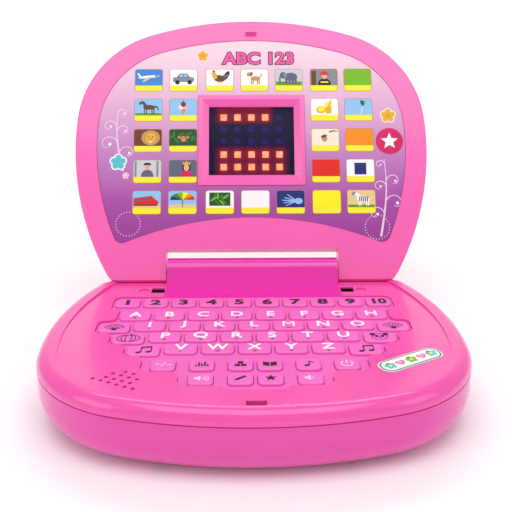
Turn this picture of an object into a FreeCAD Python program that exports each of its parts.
"""Toy laptop computer, open: a clamshell base with a keyboard and a hinged display lid.

Everything is drawn in hinge coordinates: X to the right, Y to the back, Z up, with the
lid's hinge axis along X through the origin. The lid is drawn closed and then turned open.
At the end every piece moves to the object's own frame, whose origin is the centre of the
open toy's bounding box on the surface that it stands on. Lengths are in millimetres.
"reach" is the distance in front of the hinge axis, so a point's Y is minus its reach.
"""
import FreeCAD
import Part
import math
import os

V = FreeCAD.Vector
UP = V(0, 0, 1)
ACROSS = V(1, 0, 0)

# ---------------------------------------------------------------- driving dimensions
SIZES = (
    # the plan outline that the base and the lid share
    ("body_width", 250.0, "overall width, at the widest place"),
    ("front_reach", 183.5, "hinge axis to the front edge"),
    ("rear_reach", 26.4, "hinge axis to the rear edge"),
    ("wide_reach", 90.0, "where the outline is widest"),
    ("front_radius", 246.0, "gentle arc of the front edge"),
    ("side_radius", 192.6, "gentle arc of each side"),
    ("front_corner_radius", 73.6, "front corners"),
    ("rear_corner_radius", 48.0, "rear corners"),
    # heights, up from the hinge axis
    ("rim_z", -5.5, "top of the base's rim"),
    ("parting_z", -14.0, "seam between the two base shells"),
    ("bottom_z", -46.0, "underside of the base"),
    ("shell_wall", 2.4, "wall of every shell"),
    ("rim_round", 7.5, "round on the base's top edge"),
    ("belly_round", 20.0, "round on the base's lower edge"),
    ("seam_depth", 0.8, "groove round the seam of the base"),
    ("seam_half", 0.4, "half the height of that groove"),
    ("deck_drop", 1.8, "inner deck below the rim, at the back"),
    ("deck_inset", 12.0, "rim band's width"),
    ("deck_fade_reach", 150.0, "where the sunk deck meets the rim's level"),
    ("deck_wall_z", -9.8, "underside of the deck"),
    # hinge
    ("barrel_radius", 8.0, "round top of the hinge hump"),
    ("hump_half_width", 58.7, "half width of the hump"),
    ("hump_gap", 0.8, "play between hump and lid legs"),
    ("hump_toe_reach", 12.8, "where the hump's front slope ends"),
    ("hump_toe_z", -6.0, "height of that place"),
    ("hump_foot_reach", 33.5, "front end of the hump's foot"),
    ("leg_radius", 9.5, "round end of the lid legs"),
    ("leg_gap", 0.8, "play under the lid legs"),
    ("leg_corner", 8.0, "outer corners of the lid legs, from the front"),
    ("pin_radius", 2.5, "hinge pins"),
    ("pin_grip", 8.0, "pin length inside the hump"),
    ("pin_reach", 11.0, "pin length outside the hump"),
    ("pin_play", 0.05, "running clearance of the pins"),
    ("pin_seat_play", 0.02, "clearance of the pins in the hump"),
    ("open_angle", 120.0, "lid opening angle"),
    # lid
    ("lid_gap", 0.3, "play between closed lid and rim"),
    ("lid_thickness", 12.0, "closed lid, front face to back face"),
    ("lid_seam_z", 0.8, "seam between the two lid shells"),
    ("lid_back_round", 5.0, "round on the lid's back edge"),
    ("lid_face_round", 1.2, "round on the lid's face edge"),
    ("notch_reach", 13.3, "depth of the lid's notch for the hump"),
    ("lid_solid_reach", 17.0, "lid is solid from its legs to here"),
    ("panel_inset", 15.2, "lid edge to the printed panel"),
    ("panel_corner_radius", 62.0, "upper corners of the panel"),
    ("panel_arch_reach", 35.8, "top of the arch under the panel"),
    ("panel_foot_reach", 16.0, "lower corners of the panel"),
    ("panel_foot_round", 6.0, "round of those corners"),
    ("panel_recess", 1.2, "depth of the panel's recess"),
    ("panel_thickness", 0.6, "printed panel"),
    ("fit_gap", 0.2, "play round a piece in its recess"),
    # display
    ("bezel_width", 76.0, "display bezel across"),
    ("bezel_height", 67.0, "display bezel along the lid"),
    ("display_reach", 92.7, "middle of the display"),
    ("window_width", 61.0, "clear window across"),
    ("window_height", 51.0, "clear window along the lid"),
    ("bezel_mouth", 3.0, "flat edge left round the bezel's slopes"),
    ("bezel_lip", 2.0, "bezel flange behind the panel"),
    ("flange_thickness", 1.2, "bezel flange"),
    ("window_thickness", 1.2, "display window"),
    ("lamp_size", 4.6, "square lamps"),
    ("lamp_depth", 1.6, "lamps in front of their board"),
    ("lamp_pitch_x", 10.0, "lamp columns"),
    ("lamp_pitch_y", 9.3, "lamp rows"),
    ("led_board_thickness", 1.4, "lamp board"),
    # keyboard
    ("plate_top_z", -7.6, "face of the keyboard plate"),
    ("plate_lip", 3.0, "plate flange under the deck"),
    ("plate_thickness", 1.7, "plate flange"),
    ("key_top_z", -6.2, "top of the keys"),
    ("letter_pitch", 21.0, "letter keys, side by side"),
    ("number_pitch", 18.0, "number keys, side by side"),
    ("icon_half_pitch", 8.0, "first small key, from the middle"),
    ("icon_pitch", 21.1, "small keys, side by side"),
    ("key_spacing", 2.4, "between two keys, across"),
    ("row_spacing", 2.5, "between two rows of keys"),
    ("row_pitch", 15.5, "letter rows, one behind the other"),
    ("number_row_reach", 43.6, "number row"),
    ("letter_row_reach", 64.0, "first letter row"),
    ("icon_row_reach", 130.8, "first row of small keys"),
    ("icon_row_pitch", 16.0, "the two rows of small keys"),
    ("picture_drop", 2.4, "picture keys in front of their row"),
    ("key_margin", 1.6, "keyboard edge outside the end keys"),
    ("icon_margin", 5.2, "keyboard edge outside the small keys"),
    ("key_gap", 0.3, "play round a key in its opening"),
    ("key_lip", 0.7, "lip that holds a key in"),
    ("key_lip_thickness", 1.0, "that lip"),
    ("key_lip_gap", 0.2, "play over the lip at rest"),
    ("key_round", 0.9, "soft top edge of the keys"),
    ("key_corner", 3.2, "corners of the keys, from above"),
    ("key_travel", 1.2, "how far a key goes down"),
    ("dome_height", 0.4, "rubber domes on the mat"),
    ("dome_radius", 3.0, "rubber domes"),
    ("mat_thickness", 1.2, "rubber mat"),
    ("board_thickness", 1.6, "main board"),
    # latch, grille, speaker
    ("latch_reach", 174.0, "latch and its slot"),
    ("latch_width", 8.0, "latch hook"),
    ("latch_thickness", 2.0, "latch hook"),
    ("latch_length", 4.0, "latch hook below the lid's face"),
    ("latch_play", 1.2, "play round the hook in its slot"),
    ("grille_hole_radius", 1.15, "speaker holes"),
    ("speaker_x", -78.0, "speaker, across"),
    ("speaker_reach", 149.0, "speaker"),
    ("speaker_radius", 14.0, "speaker"),
    ("speaker_rim", 3.0, "speaker basket's edge"),
    ("magnet_radius", 8.0, "speaker magnet"),
    ("speaker_height", 11.0, "speaker, front to back"),
    # battery case
    ("cell_radius", 7.1, "one cell"),
    ("cell_length", 50.0, "one cell"),
    ("cell_pitch", 15.5, "cells, side by side"),
    ("cell_gap", 0.3, "play over and under the cells"),
    ("battery_reach", 85.0, "middle of the battery case"),
    ("contact_room", 3.8, "room for a contact at each end"),
    ("contact_plate", 0.6, "contact plate"),
    # screws and feet
    ("post_radius", 5.0, "screw posts of the base"),
    ("post_top_z", -20.0, "where the posts of both shells meet"),
    ("head_seat_z", -30.0, "screw head's seat"),
    ("head_radius", 2.8, "screw head"),
    ("head_height", 2.0, "screw head"),
    ("shank_radius", 1.5, "screw shank"),
    ("screw_play", 0.15, "play round screws"),
    ("lid_post_radius", 3.5, "screw posts of the lid"),
    ("lid_head_depth", 1.8, "pocket for a lid screw's head"),
    ("lid_shank_radius", 1.2, "lid screw shank"),
    ("lid_head_radius", 2.4, "lid screw head"),
    ("foot_radius", 6.0, "rubber feet"),
    ("foot_height", 1.5, "rubber feet below the base"),
    ("foot_recess", 0.8, "feet set into the base"),
    ("sticker_thickness", 0.3, "sticker on the deck"),
)

doc = FreeCAD.newDocument("toy_laptop")
sheet = doc.addObject("Spreadsheet::Sheet", "sizes")
for row, (alias, length, meaning) in enumerate(SIZES, start=1):
    sheet.set(f"A{row}", meaning)
    sheet.set(f"B{row}", str(length))
    sheet.setAlias(f"B{row}", alias)
doc.recompute()


def size(alias):
    """A driving dimension, read from the sheet."""
    return float(sheet.get(alias))


# ---------------------------------------------------------------- places worked out once
# HAIR_GAP: play that only keeps two faces apart; WELD: how far a post runs into its wall;
# FAR and THROUGH: lengths that are sure to reach past the toy and through a wall
HAIR_GAP = 0.1
WELD = 0.4
FAR = 400.0
THROUGH = 40.0
LID_FACE_Z = size("rim_z") + size("lid_gap")
LID_BACK_Z = LID_FACE_Z + size("lid_thickness")
LID_WALL_Z = LID_FACE_Z + size("shell_wall")
LID_BACK_WALL_Z = LID_BACK_Z - size("shell_wall")
PANEL_BED_Z = LID_FACE_Z + size("panel_recess")
FLANGE_BACK_Z = LID_WALL_Z + size("flange_thickness")
WINDOW_BACK_Z = FLANGE_BACK_Z + size("window_thickness")
LAMP_BACK_Z = WINDOW_BACK_Z + HAIR_GAP + size("lamp_depth")
PLATE_SEAT_Z = size("deck_wall_z")
PLATE_BACK_Z = PLATE_SEAT_Z - size("plate_thickness")
KEY_LIP_Z = PLATE_BACK_Z - size("key_lip_gap")
KEY_BACK_Z = KEY_LIP_Z - size("key_lip_thickness")
DOME_TOP_Z = KEY_BACK_Z - size("key_travel") - HAIR_GAP
MAT_TOP_Z = DOME_TOP_Z - size("dome_height")
BOARD_TOP_Z = MAT_TOP_Z - size("mat_thickness")
BOARD_BACK_Z = BOARD_TOP_Z - size("board_thickness")
FLOOR_Z = size("bottom_z") + size("shell_wall")
CASE_ROOF_Z = FLOOR_Z + 2 * (size("cell_radius") + size("cell_gap"))
CASE_HALF_LENGTH = size("cell_length") / 2 + size("contact_room")
CASE_HALF_DEPTH = size("cell_pitch") + size("cell_radius") + size("cell_gap")

# keys: the widths that their pitches leave, and the rows from back to front
KEY_DEPTH = size("row_pitch") - size("row_spacing")
LETTER_WIDTH = size("letter_pitch") - size("key_spacing")
NUMBER_WIDTH = size("number_pitch") - size("key_spacing")
ICON_WIDTH = 2 * size("icon_half_pitch") - size("key_spacing")
LETTER_ROWS = ("abcdefgh", "ijklmno", "pqrstu", "vwxyz")
PICTURE_NAMES = ("ab", "cd", "ef")
ICON_ROWS = (
    ("symbols", "tune", "mode_letter", "mode_word", "song", "power"),
    ("volume_up", "mode_spell", "mode_story", "volume_down"),
)
KEYBOARD_REAR = size("hump_foot_reach")
LOBE_HALF_WIDTH = 17.0
LOBE_DEPTH = 4.2
STEP_ROUND = 6.0
CORNER_SHARE = 0.45
GRILLE_ROWS = ((-85.5, 147.2, 6), (-78.7, 145.7, 4), (-75.6, 141.8, 4), (-69.2, 140.1, 2))
GRILLE_STEP = (4.5, 2.32)
SLOT_WIDTH = 8.8
SLOT_REACH = (17.5, 26.0)
SLOT_SET_IN = 0.5
DIMPLE_REACH = 22.0
DIMPLE_RADIUS = 3.6
DIMPLE_DEPTH = 0.4
DIMPLE_ASIDE = 5.0
STICKER_PLACE = (85.5, size("front_reach") - 55.0)
STICKER_TURN = 31
STICKER_HALF = (21.0, 6.5)
STICKER_CORNER = 5.5
CONTACT_HALF = 5.5
BARB_LENGTH = 0.5
BARB_HEIGHT = 1.0
BEZEL_POST_RADIUS = 1.4
LID_HEAD_HEIGHT = 1.2
LID_SCREW_TIP = 0.9
LID_BORE_END = 0.6
SCREW_BITE = 7.5
BORE_SPARE = 1.0


# ---------------------------------------------------------------- drawing helpers
def at(x, reach, z=0.0):
    """A point given by its reach in front of the hinge axis."""
    return V(x, -reach, z)


def arc(centre, start, end):
    """The shorter arc from start to end about centre."""
    radius = (start - centre).Length
    middle = (start + end) * 0.5 - centre
    middle = centre + middle * (radius / middle.Length)
    return Part.Arc(start, middle, end)


def tangent_point(outer, inner, radius):
    """Where an arc about inner touches the larger arc about outer."""
    way = inner - outer
    return inner + way * (radius / way.Length)


def meeting(first, first_radius, second, second_radius):
    """The right-hand crossing of two circles."""
    way = second - first
    gap = way.Length
    along = (first_radius ** 2 - second_radius ** 2 + gap ** 2) / (2 * gap)
    aside = math.sqrt(first_radius ** 2 - along ** 2)
    foot = first + way * (along / gap)
    normal = V(-way.y, way.x, 0) * (aside / gap)
    return max(foot + normal, foot - normal, key=lambda point: point.x)


def front_centre():
    return at(0, size("front_reach") - size("front_radius"))


def side_centre():
    return at(size("body_width") / 2 - size("side_radius"), size("wide_reach"))


def rear_corner():
    """Centre and radius of the outline's rear corner on the right."""
    side = side_centre()
    radius = size("rear_corner_radius")
    rear_y = size("rear_reach") - radius
    run = math.sqrt((size("side_radius") - radius) ** 2 - (rear_y - side.y) ** 2)
    return V(side.x + run, rear_y, 0), radius


def mirrored(point):
    return V(-point.x, point.y, point.z)


def shell_outline(inset=0.0):
    """The clamshell's plan outline, drawn in by an inset."""
    front = front_centre()
    side = side_centre()
    corner_radius = size("front_corner_radius")
    corner = meeting(front, size("front_radius") - corner_radius,
                     side, size("side_radius") - corner_radius)
    rear, rear_radius = rear_corner()
    back = rear + V(0, rear_radius - inset, 0)
    rear_side = tangent_point(side, rear, rear_radius - inset)
    side_corner = tangent_point(side, corner, corner_radius - inset)
    corner_front = tangent_point(front, corner, corner_radius - inset)
    return [
        Part.LineSegment(mirrored(back), back),
        arc(rear, back, rear_side),
        arc(side, rear_side, side_corner),
        arc(corner, side_corner, corner_front),
        arc(front, corner_front, mirrored(corner_front)),
        arc(mirrored(corner), mirrored(corner_front), mirrored(side_corner)),
        arc(mirrored(side), mirrored(side_corner), mirrored(rear_side)),
        arc(mirrored(rear), mirrored(rear_side), mirrored(back)),
    ]


def panel_outline(inset=0.0):
    """The printed panel: the lid's arcs drawn in, with an arch over the hump."""
    front = front_centre()
    side = side_centre()
    front_radius = size("front_radius") - size("panel_inset")
    side_radius = size("side_radius") - size("panel_inset")
    corner_radius = size("panel_corner_radius")
    corner = meeting(front, front_radius - corner_radius, side, side_radius - corner_radius)
    side_corner = tangent_point(side, corner, corner_radius - inset)
    corner_front = tangent_point(front, corner, corner_radius - inset)
    foot_y = -size("panel_foot_reach")
    foot_x = side.x + math.sqrt(side_radius ** 2 - (foot_y - side.y) ** 2)
    rise = size("panel_arch_reach") - size("panel_foot_reach")
    arch_radius = (foot_x ** 2 + rise ** 2) / (2 * rise)
    arch = at(0, size("panel_arch_reach") - arch_radius)
    round_radius = size("panel_foot_round")
    foot = meeting(side, side_radius - round_radius, arch, arch_radius + round_radius)
    side_foot = tangent_point(side, foot, round_radius - inset)
    way = foot - arch
    foot_arch = arch + way * ((arch_radius + inset) / way.Length)
    return [
        arc(side, side_foot, side_corner),
        arc(corner, side_corner, corner_front),
        arc(front, corner_front, mirrored(corner_front)),
        arc(mirrored(corner), mirrored(corner_front), mirrored(side_corner)),
        arc(mirrored(side), mirrored(side_corner), mirrored(side_foot)),
        arc(mirrored(foot), mirrored(side_foot), mirrored(foot_arch)),
        arc(arch, mirrored(foot_arch), foot_arch),
        arc(foot, foot_arch, side_foot),
    ]


def rounded(points, radius):
    """A closed outline through points, its corners rounded as far as short sides allow."""
    starts = []
    ends = []
    centres = []
    count = len(points)
    for index, point in enumerate(points):
        before = points[index - 1] - point
        after = points[(index + 1) % count] - point
        shortest = min(before.Length, after.Length)
        before.normalize()
        after.normalize()
        half_angle = before.getAngle(after) / 2
        back_off = min(radius / math.tan(half_angle), CORNER_SHARE * shortest)
        starts.append(point + before * back_off)
        ends.append(point + after * back_off)
        bisector = before + after
        bisector.normalize()
        centres.append(point + bisector * (back_off / math.cos(half_angle)))
    edges = []
    for index in range(count):
        edges.append(arc(centres[index], starts[index], ends[index]))
        edges.append(Part.LineSegment(ends[index], starts[(index + 1) % count]))
    return edges


def rectangle(x, reach, width, depth, radius):
    """A rounded rectangle about one place."""
    left, right = x - width / 2, x + width / 2
    near, far = -reach - depth / 2, -reach + depth / 2
    corners = [V(left, near, 0), V(right, near, 0), V(right, far, 0), V(left, far, 0)]
    return rounded(corners, radius)


def side_place(reach, inset):
    """A place beside the outline's side arc."""
    side = side_centre()
    run = math.sqrt((size("side_radius") - inset) ** 2 - (reach + side.y) ** 2)
    return side.x + run, reach


def front_place(x, inset):
    """A place behind the outline's front arc."""
    front = front_centre()
    return x, math.sqrt((size("front_radius") - inset) ** 2 - x ** 2) - front.y


def row_reach(index):
    """A letter row, counted from the back."""
    return size("letter_row_reach") + index * size("row_pitch")


def keyboard_steps():
    """The keyboard's stepped edge: half width, and the reach where that step ends."""
    margin = size("key_margin")
    front_margin = KEY_DEPTH / 2 + margin
    steps = [(4.5 * size("number_pitch") + NUMBER_WIDTH / 2 + margin,
              (size("number_row_reach") + row_reach(0)) / 2)]
    drop = 0
    for index, names in enumerate(LETTER_ROWS):
        places = (len(names) - 1) / 2 + (1 if index else 0)
        steps.append((places * size("letter_pitch") + LETTER_WIDTH / 2 + margin,
                      row_reach(index) + front_margin + drop))
        drop = size("picture_drop")
    for index, names in enumerate(ICON_ROWS):
        outer = size("icon_half_pitch") + (len(names) / 2 - 1) * size("icon_pitch")
        steps.append((outer + ICON_WIDTH / 2 + size("icon_margin"),
                      size("icon_row_reach") + index * size("icon_row_pitch") + front_margin + 1))
    steps.append((LOBE_HALF_WIDTH, steps[-1][1] + LOBE_DEPTH))
    return steps


def keyboard_outline(grow=0.0):
    """The keyboard's stepped edge, grown outwards on every side."""
    steps = keyboard_steps()
    right = [at(steps[0][0] + grow, KEYBOARD_REAR - grow)]
    for (half, end), (next_half, _) in zip(steps, steps[1:]):
        edge = end + grow if next_half < half else end - grow
        right.append(at(half + grow, edge))
        right.append(at(next_half + grow, edge))
    half, end = steps[-1]
    right.append(at(half + grow, end + grow))
    left = [mirrored(point) for point in reversed(right)]
    return rounded(right + left, STEP_ROUND)


def polygon(points):
    """A closed outline with sharp corners."""
    pairs = zip(points, points[1:] + points[:1])
    return [Part.LineSegment(start, end) for start, end in pairs]


def key_places():
    """Every key as its name, x, reach and width."""
    places = [(f"number_{index}", (index - 4.5) * size("number_pitch"),
               size("number_row_reach"), NUMBER_WIDTH) for index in range(10)]
    for index, names in enumerate(LETTER_ROWS):
        for place, name in enumerate(names):
            x = (place - (len(names) - 1) / 2) * size("letter_pitch")
            places.append(("key_" + name, x, row_reach(index), LETTER_WIDTH))
    for index, names in enumerate(PICTURE_NAMES, start=1):
        x = (len(LETTER_ROWS[index]) + 1) / 2 * size("letter_pitch")
        for side, name in zip((-1, 1), names):
            places.append(("picture_" + name, side * x,
                           row_reach(index) + size("picture_drop"), LETTER_WIDTH))
    for index, names in enumerate(ICON_ROWS):
        for place, name in enumerate(names):
            order = place - (len(names) - 1) / 2
            x = size("icon_half_pitch") + (abs(order) - 0.5) * size("icon_pitch")
            places.append(("key_" + name, math.copysign(x, order),
                           size("icon_row_reach") + index * size("icon_row_pitch"), ICON_WIDTH))
    return places


# ---------------------------------------------------------------- feature helpers
def body(label):
    made = doc.addObject("PartDesign::Body", label)
    made.Label = label
    return made


def sketch(owner, edges, height, role="XY_Plane"):
    """A sketch on one of the body's own planes, lifted to a height formula."""
    drawn = owner.newObject("Sketcher::SketchObject", "outline")
    plane = next(item for item in owner.Origin.OriginFeatures if item.Role == role)
    drawn.AttachmentSupport = [(plane, "")]
    drawn.MapMode = "FlatFace"
    drawn.setExpression("AttachmentOffset.Base.z", height)
    drawn.addGeometry(edges, False)
    return drawn


def pad(owner, edges, height, length, role="XY_Plane"):
    feature = owner.newObject("PartDesign::Pad", "pad")
    feature.Profile = sketch(owner, edges, height, role)
    feature.setExpression("Length", length)
    return feature


def pocket(owner, edges, height, depth):
    """A cut downwards from a height; a cut that takes nothing away is an error."""
    doc.recompute()
    before = owner.Shape.Volume
    feature = owner.newObject("PartDesign::Pocket", "pocket")
    feature.Profile = sketch(owner, edges, height)
    feature.setExpression("Length", depth)
    doc.recompute()
    if owner.Shape.Volume >= before:
        raise ValueError(f"{owner.Label}: a pocket cuts nothing")
    return feature


def edges_at(shape, z, tolerance=1e-4):
    """Names of the edges that lie flat at one height."""
    names = []
    for index, edge in enumerate(shape.Edges, start=1):
        box = edge.BoundBox
        if abs(box.ZMin - z) < tolerance and abs(box.ZMax - z) < tolerance:
            names.append(f"Edge{index}")
    return names


def round_edges(owner, z, radius):
    """Round every edge at one height."""
    doc.recompute()
    base = owner.Tip
    feature = owner.newObject("PartDesign::Fillet", "round")
    feature.Base = (base, edges_at(base.Shape, z))
    feature.setExpression("Radius", radius)
    return feature


def prism(label, edges, height, length, role="XY_Plane"):
    made = body(label)
    pad(made, edges, height, length, role)
    return made


def block(label, low, high):
    """A box between two corners."""
    made = doc.addObject("Part::Box", label)
    made.Label = label
    made.Length, made.Width, made.Height = high.x - low.x, high.y - low.y, high.z - low.z
    made.Placement.Base = low
    return made


def rod(label, start, axis, radius, length):
    """A cylinder from start along an axis; radius is a formula."""
    made = doc.addObject("Part::Cylinder", label)
    made.Label = label
    made.setExpression("Radius", radius)
    made.Height = length
    made.Placement = FreeCAD.Placement(start, FreeCAD.Rotation(UP, axis))
    return made


def cut(label, base, tool):
    made = doc.addObject("Part::Cut", label)
    made.Label = label
    made.Base = base
    made.Tool = tool
    return made


def joined(label, shapes):
    made = doc.addObject("Part::MultiFuse", label)
    made.Label = label
    made.Shapes = shapes
    return made


def shared(label, shapes):
    made = doc.addObject("Part::MultiCommon", label)
    made.Label = label
    made.Shapes = shapes
    return made


def group(label, links):
    """Several equal pieces in one node."""
    made = doc.addObject("Part::Compound", label)
    made.Label = label
    made.Links = links
    return made


def both_sides(places):
    return [(side * x, reach) for x, reach in places for side in (-1, 1)]


# ---------------------------------------------------------------- base shells
BASE_POSTS = (side_place(62, 15.3), side_place(118, 21), front_place(50, 10.2),
              (45, 9.4 - size("rear_reach")))
LID_POSTS = (side_place(45, 17), side_place(100, 18.8), front_place(62, 23))
BOARD_POSTS = ((80, 48), (48, 132))
FEET = (side_place(22, 33), side_place(size("front_reach") - 45.5, 49))


def hump_outline():
    """The hump from the side, in Y and Z: a round top, a front slope and a long foot."""
    radius = size("barrel_radius")
    toe = V(-size("hump_toe_reach"), size("hump_toe_z"), 0)
    tilt = math.atan2(toe.y, -toe.x) + math.acos(radius / toe.Length)
    touch = V(-radius * math.cos(tilt), radius * math.sin(tilt), 0)
    top = V(0, radius, 0)
    back = V(radius, 0, 0)
    low = size("deck_wall_z")
    foot = -size("hump_foot_reach")
    return [
        Part.Arc(touch, top, back),
        Part.LineSegment(back, V(radius, low, 0)),
        Part.LineSegment(V(radius, low, 0), V(foot, low, 0)),
        Part.LineSegment(V(foot, low, 0), V(foot, size("plate_top_z"), 0)),
        Part.LineSegment(V(foot, size("plate_top_z"), 0), toe),
        Part.LineSegment(toe, touch),
    ]


def deck_wedge(label, lift):
    """The space over the sunk deck: deep at the back, nothing at the fade line."""
    rear = size("rear_reach") + 1
    slope = size("deck_drop") / (size("deck_fade_reach") + size("rear_reach"))
    low = size("rim_z") - size("deck_drop") - slope + lift
    level = size("rim_z") + lift
    beyond = 5.0
    points = [V(rear, low, 0), V(rear, level + beyond, 0),
              V(-size("front_reach"), level + beyond, 0),
              V(-size("front_reach"), level, 0), V(-size("deck_fade_reach"), level, 0)]
    return prism(label, polygon(points), "-sizes.body_width / 2", "sizes.body_width", "YZ_Plane")


def top_shell():
    outer = prism("top_blank", shell_outline(), "sizes.parting_z",
                  "sizes.rim_z - sizes.parting_z")
    round_edges(outer, size("rim_z"), "sizes.rim_round")
    blank = cut("top_seamed", outer, seam_groove())
    sunk = shared("deck_cut", [
        prism("deck_area", shell_outline(size("deck_inset")), "sizes.deck_wall_z",
              "sizes.rim_z - sizes.deck_wall_z + 1"),
        deck_wedge("deck_wedge", 0)])
    cavity = prism("top_cavity", shell_outline(size("shell_wall")), "sizes.parting_z - 1",
                   "sizes.deck_wall_z - sizes.parting_z + 1")
    trough_skin = rod("trough_skin", V(-FAR / 2, 0, 0), ACROSS,
                      "sizes.leg_radius + sizes.leg_gap + sizes.shell_wall", FAR)
    hollow = cut("top_hollow", cavity, trough_skin)
    hump = prism("hump_blank", hump_outline(), "-sizes.hump_half_width",
                 "2 * sizes.hump_half_width", "YZ_Plane")
    hump_room = block("hump_room",
                      V(-size("hump_half_width"), -size("hump_foot_reach"), size("deck_wall_z")),
                      V(size("hump_half_width"), size("barrel_radius"), 0))
    holes = [sunk, hollow, hump_room]
    inner = size("hump_half_width") + size("hump_gap")
    for side in (-1, 1):
        way = V(side, 0, 0)
        holes.append(rod("trough", V(side * inner, 0, 0), way,
                         "sizes.leg_radius + sizes.leg_gap", FAR / 2))
        near = size("hump_half_width") + SLOT_SET_IN
        left, right = sorted((side * near, side * (near + SLOT_WIDTH)))
        rear, front = SLOT_REACH
        holes.append(block("side_slot", V(left, -front, size("parting_z")), V(right, -rear, 0)))
        dimple_z = size("rim_z") - size("deck_drop") - DIMPLE_DEPTH
        holes.append(rod("dimple", at(side * (near + SLOT_WIDTH + DIMPLE_ASIDE), DIMPLE_REACH,
                                     dimple_z), UP, f"{DIMPLE_RADIUS}", THROUGH))
    window = prism("keyboard_window", keyboard_outline(size("fit_gap")), "sizes.parting_z",
                   "-sizes.parting_z")
    holes.append(window)
    holes += grille_holes()
    holes.append(latch_slot())
    walls = cut("top_walls", blank, joined("top_openings", holes))
    bosses = [rod("top_post", at(x, reach, size("post_top_z")), UP, "sizes.post_radius - 1",
                  size("deck_wall_z") - size("post_top_z") + WELD)
              for x, reach in both_sides(BASE_POSTS)]
    solid = joined("top_solid", [walls, hump] + bosses)
    bores = [rod("top_screw_hole", at(x, reach, size("post_top_z") - BORE_SPARE), UP,
                 "sizes.shank_radius + sizes.screw_play", SCREW_BITE + 2 * BORE_SPARE)
             for x, reach in both_sides(BASE_POSTS)]
    for side in (-1, 1):
        start = V(side * (size("hump_half_width") - size("pin_grip")), 0, 0)
        bores.append(rod("pin_hole", start, V(side, 0, 0), "sizes.pin_radius + sizes.pin_seat_play",
                         size("pin_grip") + 1))
    return cut("base_top_shell", solid, joined("top_bores", bores))


def grille_holes():
    """Slanting rows of small speaker holes."""
    holes = []
    step_x, step_reach = GRILLE_STEP
    for x, reach, count in GRILLE_ROWS:
        for index in range(count):
            place = at(x + index * step_x, reach + index * step_reach, size("parting_z"))
            holes.append(rod("grille_hole", place, UP, "sizes.grille_hole_radius", THROUGH))
    return holes


def seam_groove():
    """The shallow groove that runs round the base where its shells meet."""
    height = "sizes.parting_z - sizes.seam_half"
    band = prism("seam_band", shell_outline(-size("seam_depth")), height, "2 * sizes.seam_half")
    core = prism("seam_core", shell_outline(size("seam_depth")), height, "2 * sizes.seam_half")
    return cut("seam_groove", band, core)


def latch_slot():
    half = size("latch_width") / 2 + size("latch_play")
    deep = size("latch_thickness") / 2 + size("latch_play")
    return block("latch_slot", at(-half, size("latch_reach") + deep, size("parting_z")),
                 at(half, size("latch_reach") - deep, 0))


def bottom_shell():
    belly = prism("bottom_blank", shell_outline(), "sizes.bottom_z",
                  "sizes.parting_z - sizes.bottom_z")
    round_edges(belly, size("bottom_z"), "sizes.belly_round")
    outer = cut("bottom_seamed", belly, seam_groove())
    inner = prism("bottom_cavity", shell_outline(size("shell_wall")),
                  "sizes.bottom_z + sizes.shell_wall",
                  "sizes.parting_z - sizes.bottom_z - sizes.shell_wall")
    round_edges(inner, FLOOR_Z, "sizes.belly_round - sizes.shell_wall")
    posts = [rod("bottom_post", at(x, reach, size("bottom_z")), UP, "sizes.post_radius",
                 size("post_top_z") - size("bottom_z"))
             for x, reach in both_sides(BASE_POSTS)]
    posts += [rod("board_post", at(x, reach, size("bottom_z")), UP, "sizes.post_radius - 2",
                  BOARD_BACK_Z - size("bottom_z"))
              for x, reach in both_sides(BOARD_POSTS)]
    wall = size("shell_wall")
    case = block("battery_case",
                 at(-CASE_HALF_LENGTH - wall, size("battery_reach") + CASE_HALF_DEPTH + wall,
                    size("bottom_z")),
                 at(CASE_HALF_LENGTH + wall, size("battery_reach") - CASE_HALF_DEPTH - wall,
                    CASE_ROOF_Z + wall))
    inside = shared("bottom_inside", [joined("bottom_fittings", posts + [case]), blank_copy()])
    walls = cut("bottom_walls", outer, inner)
    solid = joined("bottom_solid", [walls, inside])
    holes = [block("battery_room",
                   at(-CASE_HALF_LENGTH, size("battery_reach") + CASE_HALF_DEPTH,
                      size("bottom_z") - 1),
                   at(CASE_HALF_LENGTH, size("battery_reach") - CASE_HALF_DEPTH, CASE_ROOF_Z))]
    for x, reach in both_sides(BASE_POSTS):
        holes.append(rod("head_bore", at(x, reach, size("bottom_z") - 1), UP,
                         "sizes.head_radius + sizes.screw_play * 2",
                         size("head_seat_z") - size("bottom_z") + 1))
        holes.append(rod("shank_bore", at(x, reach, size("head_seat_z") - 1), UP,
                         "sizes.shank_radius + sizes.screw_play",
                         size("post_top_z") - size("head_seat_z") + 2))
    for x, reach in both_sides(FEET):
        holes.append(rod("foot_recess", at(x, reach, size("bottom_z") - 1), UP,
                         "sizes.foot_radius + sizes.screw_play", 1 + size("foot_recess")))
    return cut("base_bottom_shell", solid, joined("bottom_holes", holes))


def blank_copy():
    """The bottom shell's outer form again, to trim what stands inside it."""
    outer = prism("bottom_trim", shell_outline(), "sizes.bottom_z",
                  "sizes.parting_z - sizes.bottom_z")
    round_edges(outer, size("bottom_z"), "sizes.belly_round")
    return outer


# ---------------------------------------------------------------- keyboard
def key_plate():
    made = body("key_plate")
    pad(made, keyboard_outline(size("plate_lip")), "sizes.deck_wall_z - sizes.plate_thickness",
        "sizes.plate_thickness")
    pad(made, keyboard_outline(), "sizes.deck_wall_z", "sizes.plate_top_z - sizes.deck_wall_z")
    openings = []
    for _, x, reach, width in key_places():
        openings += rectangle(x, reach, width + 2 * size("key_gap"),
                              KEY_DEPTH + 2 * size("key_gap"),
                              size("key_corner") + size("key_gap"))
    pocket(made, openings, "sizes.plate_top_z",
           "sizes.plate_top_z - sizes.deck_wall_z + sizes.plate_thickness")
    return made


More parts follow.
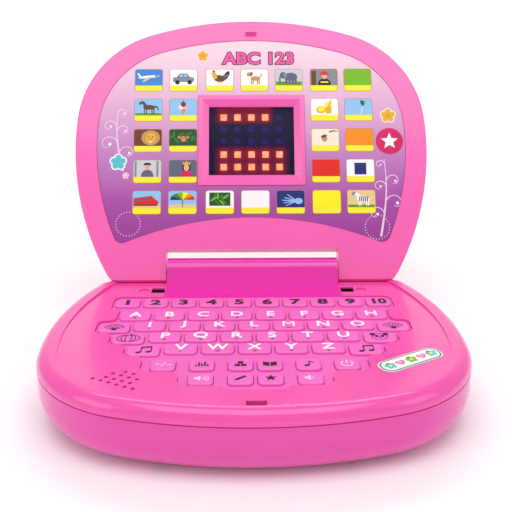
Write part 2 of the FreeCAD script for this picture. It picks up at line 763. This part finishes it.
def key(label, x, reach, width):
    """A soft-edged key with a lip under the plate that holds it in."""
    made = body(label)
    lip = 2 * size("key_lip")
    pad(made, rectangle(x, reach, width + lip, KEY_DEPTH + lip,
                        size("key_corner") + size("key_lip")),
        f"{KEY_BACK_Z}", "sizes.key_lip_thickness")
    pad(made, rectangle(x, reach, width, KEY_DEPTH, size("key_corner")),
        f"{KEY_LIP_Z}", f"sizes.key_top_z - ({KEY_LIP_Z})")
    round_edges(made, size("key_top_z"), "sizes.key_round")
    return made


def key_mat():
    """Rubber sheet with one dome under each key."""
    sheet_body = prism("mat_sheet", keyboard_outline(-size("key_gap")),
                       f"{BOARD_TOP_Z}", "sizes.mat_thickness")
    domes = [rod("dome", at(x, reach, MAT_TOP_Z - WELD), UP, "sizes.dome_radius",
                 size("dome_height") + WELD)
             for _, x, reach, _ in key_places()]
    return joined("key_mat", [sheet_body] + domes)


def main_board():
    return prism("main_board", keyboard_outline(-size("key_gap")), f"{BOARD_BACK_Z}",
                 "sizes.board_thickness")


# ---------------------------------------------------------------- pieces inside the base
def speaker():
    top = at(size("speaker_x"), size("speaker_reach"), size("deck_wall_z"))
    down = V(0, 0, -1)
    basket = rod("speaker_basket", top, down, "sizes.speaker_radius", size("speaker_rim"))
    magnet = rod("speaker_magnet", top, down, "sizes.magnet_radius", size("speaker_height"))
    return joined("speaker", [basket, magnet])


def cell_rows():
    middle = size("battery_reach")
    return [middle + index * size("cell_pitch") for index in (-1, 0, 1)]


def batteries():
    z = FLOOR_Z + size("cell_gap") + size("cell_radius")
    return group("batteries", [
        rod("cell", at(-size("cell_length") / 2, reach, z), ACROSS, "sizes.cell_radius",
            size("cell_length")) for reach in cell_rows()])


def battery_contacts():
    """At each end of each cell, a plate with a spring that meets the cell."""
    z = FLOOR_Z + size("cell_gap") + size("cell_radius")
    half = CONTACT_HALF
    pieces = []
    for reach in cell_rows():
        for side in (-1, 1):
            outer = side * CASE_HALF_LENGTH
            inner = side * (CASE_HALF_LENGTH - size("contact_plate"))
            left, right = sorted((inner, outer))
            plate = block("contact_plate", at(left, reach + half, z - half),
                          at(right, reach - half, z + half))
            spring = rod("contact_spring", at(inner, reach, z), V(-side, 0, 0),
                         "sizes.cell_radius / 2",
                         size("contact_room") - size("contact_plate") - size("cell_gap"))
            pieces.append(joined("contact", [plate, spring]))
    return group("battery_contacts", pieces)


def battery_door():
    play = size("fit_gap")
    low = at(-CASE_HALF_LENGTH + play, size("battery_reach") + CASE_HALF_DEPTH - play,
             size("bottom_z"))
    high = at(CASE_HALF_LENGTH - play, size("battery_reach") - CASE_HALF_DEPTH + play, FLOOR_Z)
    return block("battery_door", low, high)


def base_screws():
    pieces = []
    for x, reach in both_sides(BASE_POSTS):
        seat = size("head_seat_z")
        head = rod("screw_head", at(x, reach, seat - size("head_height")), UP,
                   "sizes.head_radius", size("head_height"))
        shank = rod("screw_shank", at(x, reach, seat), UP, "sizes.shank_radius",
                    size("post_top_z") - seat + SCREW_BITE)
        pieces.append(joined("screw", [head, shank]))
    return group("base_screws", pieces)


def rubber_feet():
    return group("rubber_feet", [
        rod("foot", at(x, reach, size("bottom_z") - size("foot_height")), UP, "sizes.foot_radius",
            size("foot_height") + size("foot_recess"))
        for x, reach in both_sides(FEET)])


def hinge_pins():
    pins = []
    for side in (-1, 1):
        start = V(side * (size("hump_half_width") - size("pin_grip")), 0, 0)
        pins.append(rod("pin", start, V(side, 0, 0), "sizes.pin_radius",
                        size("pin_grip") + size("pin_reach")))
    return group("hinge_pins", pins)


def deck_sticker():
    """A slanting rounded label that lies on the sunk deck."""
    turned = FreeCAD.Placement(at(*STICKER_PLACE), FreeCAD.Rotation(UP, STICKER_TURN))
    half_x, half_y = STICKER_HALF
    corners = ((-half_x, -half_y), (half_x, -half_y), (half_x, half_y), (-half_x, half_y))
    made = prism("sticker_area",
                 rounded([turned.multVec(V(x, y, 0)) for x, y in corners], STICKER_CORNER),
                 "sizes.deck_wall_z", "-sizes.deck_wall_z")
    slab = cut("sticker_slab", deck_wedge("sticker_under", 0),
               deck_wedge("sticker_over", size("sticker_thickness")))
    return shared("deck_sticker", [made, slab])


# ---------------------------------------------------------------- lid
def leg_trim(label):
    """What lies behind the hinge axis and outside the legs' round end."""
    behind = block(label + "_behind", V(-FAR / 2, 0, -FAR / 2), V(FAR / 2, FAR / 2, FAR / 2))
    keep = rod(label + "_keep", V(-FAR / 2, 0, 0), ACROSS, "sizes.leg_radius", FAR)
    return cut(label, behind, keep)


def leg_corners(label):
    """What the rounded outer corners of the two legs leave away."""
    corner = size("leg_corner")
    rear, rear_radius = rear_corner()
    end = size("leg_radius")
    drop = end - corner - rear.y
    centre = rear + V(math.sqrt((rear_radius - corner) ** 2 - drop ** 2), drop, 0)
    touch = tangent_point(rear, centre, corner)
    flat = V(centre.x, end, 0)
    far = V(touch.x + end, end + BORE_SPARE, 0)
    tools = []
    for turn in (lambda point: point, mirrored):
        first, middle, last = turn(touch), turn(centre), turn(flat)
        around = [last, turn(V(flat.x, far.y, 0)), turn(far), turn(V(far.x, touch.y, 0)), first]
        edges = [arc(middle, first, last)]
        edges += [Part.LineSegment(start, stop) for start, stop in zip(around, around[1:])]
        tools.append(prism(label, edges, f"{LID_FACE_Z} - 1", "sizes.lid_thickness + 2"))
    return joined(label + "_pair", tools)


def lid_notch(label):
    half = size("hump_half_width") + size("hump_gap")
    return block(label, V(-half, -size("notch_reach"), -FAR / 2), V(half, FAR / 2, FAR / 2))


def lid_cavity(label, low, high):
    room = prism(label + "_room", shell_outline(size("shell_wall")), f"{low}", f"{high - low}")
    solid_end = block(label + "_end", V(-FAR / 2, -size("lid_solid_reach"), -FAR / 2),
                      V(FAR / 2, FAR / 2, FAR / 2))
    return cut(label, room, solid_end)


def lid_pin_bores(label):
    half = size("hump_half_width")
    length = size("hump_gap") + size("pin_reach") + 1
    return [rod(label, V(side * half, 0, 0), V(side, 0, 0), "sizes.pin_radius + sizes.pin_play",
                length) for side in (-1, 1)]


def lid_front_frame():
    blank = prism("frame_blank", shell_outline(), f"{LID_FACE_Z}",
                  f"sizes.lid_seam_z - ({LID_FACE_Z})")
    round_edges(blank, LID_FACE_Z, "sizes.lid_face_round")
    bed = prism("panel_bed", panel_outline(), f"{LID_FACE_Z - 1}", f"sizes.panel_recess + 1")
    mouth = block("bezel_hole", *display_box(size("fit_gap"), LID_FACE_Z - 1, LID_WALL_Z + 1))
    walls = cut("frame_walls", blank, joined("frame_openings", [
        leg_trim("frame_leg_trim"), leg_corners("frame_corner"), lid_notch("frame_notch"),
        lid_cavity("frame_cavity", LID_WALL_Z, size("lid_seam_z") + 1), bed, mouth]))
    posts = [rod("frame_post", at(x, reach, LID_WALL_Z - WELD), UP, "sizes.lid_post_radius",
                 size("lid_seam_z") - LID_WALL_Z + WELD)
             for x, reach in both_sides(LID_POSTS)]
    holes = [rod("frame_screw_hole", at(x, reach, LID_WALL_Z + LID_BORE_END), UP,
                 "sizes.lid_shank_radius + sizes.screw_play", THROUGH)
             for x, reach in both_sides(LID_POSTS)]
    return cut("lid_front_frame", joined("frame_solid", [walls] + posts),
               joined("frame_bores", holes + lid_pin_bores("frame_pin_bore")))


def display_box(grow, low, high):
    half_x = size("bezel_width") / 2 + grow
    half_y = size("bezel_height") / 2 + grow
    return (at(-half_x, size("display_reach") + half_y, low),
            at(half_x, size("display_reach") - half_y, high))


def lid_back_shell():
    blank = prism("back_blank", shell_outline(), "sizes.lid_seam_z",
                  f"{LID_BACK_Z} - sizes.lid_seam_z")
    round_edges(blank, LID_BACK_Z, "sizes.lid_back_round")
    walls = cut("back_walls", blank, joined("back_openings", [
        leg_trim("back_leg_trim"), leg_corners("back_corner"), lid_notch("back_notch"),
        lid_cavity("back_cavity", size("lid_seam_z") - 1, LID_BACK_WALL_Z)]))
    posts = [rod("back_post", at(x, reach, size("lid_seam_z")), UP, "sizes.lid_post_radius",
                 LID_BACK_WALL_Z - size("lid_seam_z") + WELD)
             for x, reach in both_sides(LID_POSTS)]
    holes = []
    for x, reach in both_sides(LID_POSTS):
        holes.append(rod("back_screw_hole", at(x, reach, 0), UP,
                         "sizes.lid_shank_radius + sizes.screw_play", THROUGH))
        holes.append(rod("back_head_hole", at(x, reach, LID_BACK_Z - size("lid_head_depth")), UP,
                         "sizes.lid_head_radius + sizes.screw_play", THROUGH))
    return cut("lid_back_shell", joined("back_solid", [walls] + posts),
               joined("back_bores", holes + lid_pin_bores("back_pin_bore")))


def lid_panel():
    sheet_body = prism("panel_sheet", panel_outline(size("fit_gap")),
                       f"{PANEL_BED_Z} - sizes.panel_thickness", "sizes.panel_thickness")
    hole = block("panel_hole", *display_box(size("fit_gap"), LID_FACE_Z - 1, LID_WALL_Z))
    return cut("lid_panel", sheet_body, hole)


def display_bezel():
    """A frame whose wide faces slope in to the window, with a flange and four posts behind."""
    front = block("bezel_front", *display_box(0, LID_FACE_Z, LID_WALL_Z))
    flange = block("bezel_flange", *display_box(size("bezel_lip"), LID_WALL_Z, FLANGE_BACK_Z))
    funnel = doc.addObject("Part::Wedge", "bezel_funnel")
    mouth_x = size("bezel_width") / 2 - size("bezel_mouth")
    mouth_y = size("bezel_height") / 2 - size("bezel_mouth")
    window_x = size("window_width") / 2
    window_y = size("window_height") / 2
    # a wedge narrows along its own Y, which is turned here to point into the lid
    funnel.Xmin, funnel.Xmax, funnel.Zmin, funnel.Zmax = -mouth_x, mouth_x, -mouth_y, mouth_y
    funnel.X2min, funnel.X2max = -window_x, window_x
    funnel.Z2min, funnel.Z2max = -window_y, window_y
    funnel.Ymin = 0
    funnel.Ymax = LID_WALL_Z - LID_FACE_Z
    funnel.Placement = FreeCAD.Placement(at(0, size("display_reach"), LID_FACE_Z),
                                         FreeCAD.Rotation(ACROSS, 90))
    throat = block("bezel_throat",
                   at(-window_x, size("display_reach") + window_y, LID_FACE_Z - 1),
                   at(window_x, size("display_reach") - window_y, FLANGE_BACK_Z + 1))
    ring = cut("bezel_ring", joined("bezel_solid", [front, flange]),
               joined("bezel_opening", [funnel, throat]))
    posts = [rod("bezel_post", at(x, size("display_reach") + y, FLANGE_BACK_Z - WELD), UP,
                 f"{BEZEL_POST_RADIUS}", LAMP_BACK_Z - FLANGE_BACK_Z + WELD)
             for x in (-bezel_post_x(), bezel_post_x()) for y in (-bezel_post_y(), bezel_post_y())]
    return joined("display_bezel", [ring] + posts)


def bezel_post_x():
    return size("bezel_width") / 2 - size("bezel_lip") / 2


def bezel_post_y():
    return size("bezel_height") / 2 - size("bezel_lip") / 2


def display_window():
    half_x = size("window_width") / 2 + size("bezel_lip")
    half_y = size("window_height") / 2 + size("bezel_lip")
    return block("display_window", at(-half_x, size("display_reach") + half_y, FLANGE_BACK_Z),
                 at(half_x, size("display_reach") - half_y, WINDOW_BACK_Z))


def led_board():
    low, high = display_box(size("bezel_lip"), LAMP_BACK_Z,
                            LAMP_BACK_Z + size("led_board_thickness"))
    return block("led_board", low, high)


def led_lamps():
    half = size("lamp_size") / 2
    lamps = []
    for row in range(-2, 3):
        for column in range(-2, 3):
            x = column * size("lamp_pitch_x")
            reach = size("display_reach") + row * size("lamp_pitch_y")
            lamps.append(block("lamp", at(x - half, reach + half, LAMP_BACK_Z - size("lamp_depth")),
                               at(x + half, reach - half, LAMP_BACK_Z)))
    return group("led_lamps", lamps)


def lid_screws():
    pieces = []
    seat = LID_BACK_Z - size("lid_head_depth")
    for x, reach in both_sides(LID_POSTS):
        head = rod("lid_screw_head", at(x, reach, seat), UP, "sizes.lid_head_radius",
                   LID_HEAD_HEIGHT)
        shank = rod("lid_screw_shank", at(x, reach, seat), V(0, 0, -1), "sizes.lid_shank_radius",
                    seat - LID_WALL_Z - LID_SCREW_TIP)
        pieces.append(joined("lid_screw", [head, shank]))
    return group("lid_screws", pieces)


def lid_latch():
    """A hook that drops into the slot in the rim when the lid is shut."""
    half = size("latch_width") / 2
    deep = size("latch_thickness") / 2
    low = LID_FACE_Z - size("latch_length")
    stem = block("latch_stem", at(-half, size("latch_reach") + deep, low),
                 at(half, size("latch_reach") - deep, LID_FACE_Z))
    barb = block("latch_barb", at(-half, size("latch_reach") + deep + BARB_LENGTH, low),
                 at(half, size("latch_reach") + deep, low + BARB_HEIGHT))
    return joined("lid_latch", [stem, barb])


# ---------------------------------------------------------------- build every node
BASE_NODES = [top_shell(), bottom_shell(), key_plate(), key_mat(), main_board(), speaker(),
               batteries(), battery_contacts(), battery_door(), base_screws(), rubber_feet(),
               hinge_pins(), deck_sticker()]
number_keys = []
picture_keys = []
for name, x, reach, width in key_places():
    made = key(name, x, reach, width)
    if name.startswith("number"):
        number_keys.append(made)
    elif name.startswith("picture"):
        picture_keys.append(made)
    else:
        BASE_NODES.append(made)
BASE_NODES.append(group("number_keys", number_keys))
BASE_NODES.append(group("picture_keys", picture_keys))
LID_NODES = [lid_front_frame(), lid_back_shell(), lid_panel(), display_bezel(),
              display_window(), led_board(), led_lamps(), lid_screws(), lid_latch()]
doc.recompute()

# the open lid's rearmost point lies on the round of its back edge
lean = math.radians(size("open_angle") - 90)
round_reach = size("front_reach") - size("lid_back_round")
round_z = LID_BACK_Z - size("lid_back_round")
back_extent = (round_reach * math.sin(lean) + round_z * math.cos(lean)
               + size("lid_back_round"))
shift = V(0, (size("front_reach") - back_extent) / 2, size("foot_height") - size("bottom_z"))
still = FreeCAD.Placement(shift, FreeCAD.Rotation())
opened = FreeCAD.Placement(shift, FreeCAD.Rotation(ACROSS, -size("open_angle")))
for node in BASE_NODES:
    node.Placement = still.multiply(node.Placement)
for node in LID_NODES:
    node.Placement = opened.multiply(node.Placement)
doc.recompute()

# ---------------------------------------------------------------- checks and files
for item in doc.Objects:
    if "Invalid" in item.State or "Error" in item.State:
        raise ValueError(f"{item.Label} failed: {item.State}")
os.makedirs("parts", exist_ok=True)
for node in BASE_NODES + LID_NODES:
    shape = node.Shape
    if shape.isNull() or not shape.isValid():
        raise ValueError(f"{node.Label} has no valid shape")
    shape.exportStep(f"parts/{node.Label}.step")
print("nodes:", len(BASE_NODES + LID_NODES))
print("hinge axis in the object's frame:", shift)
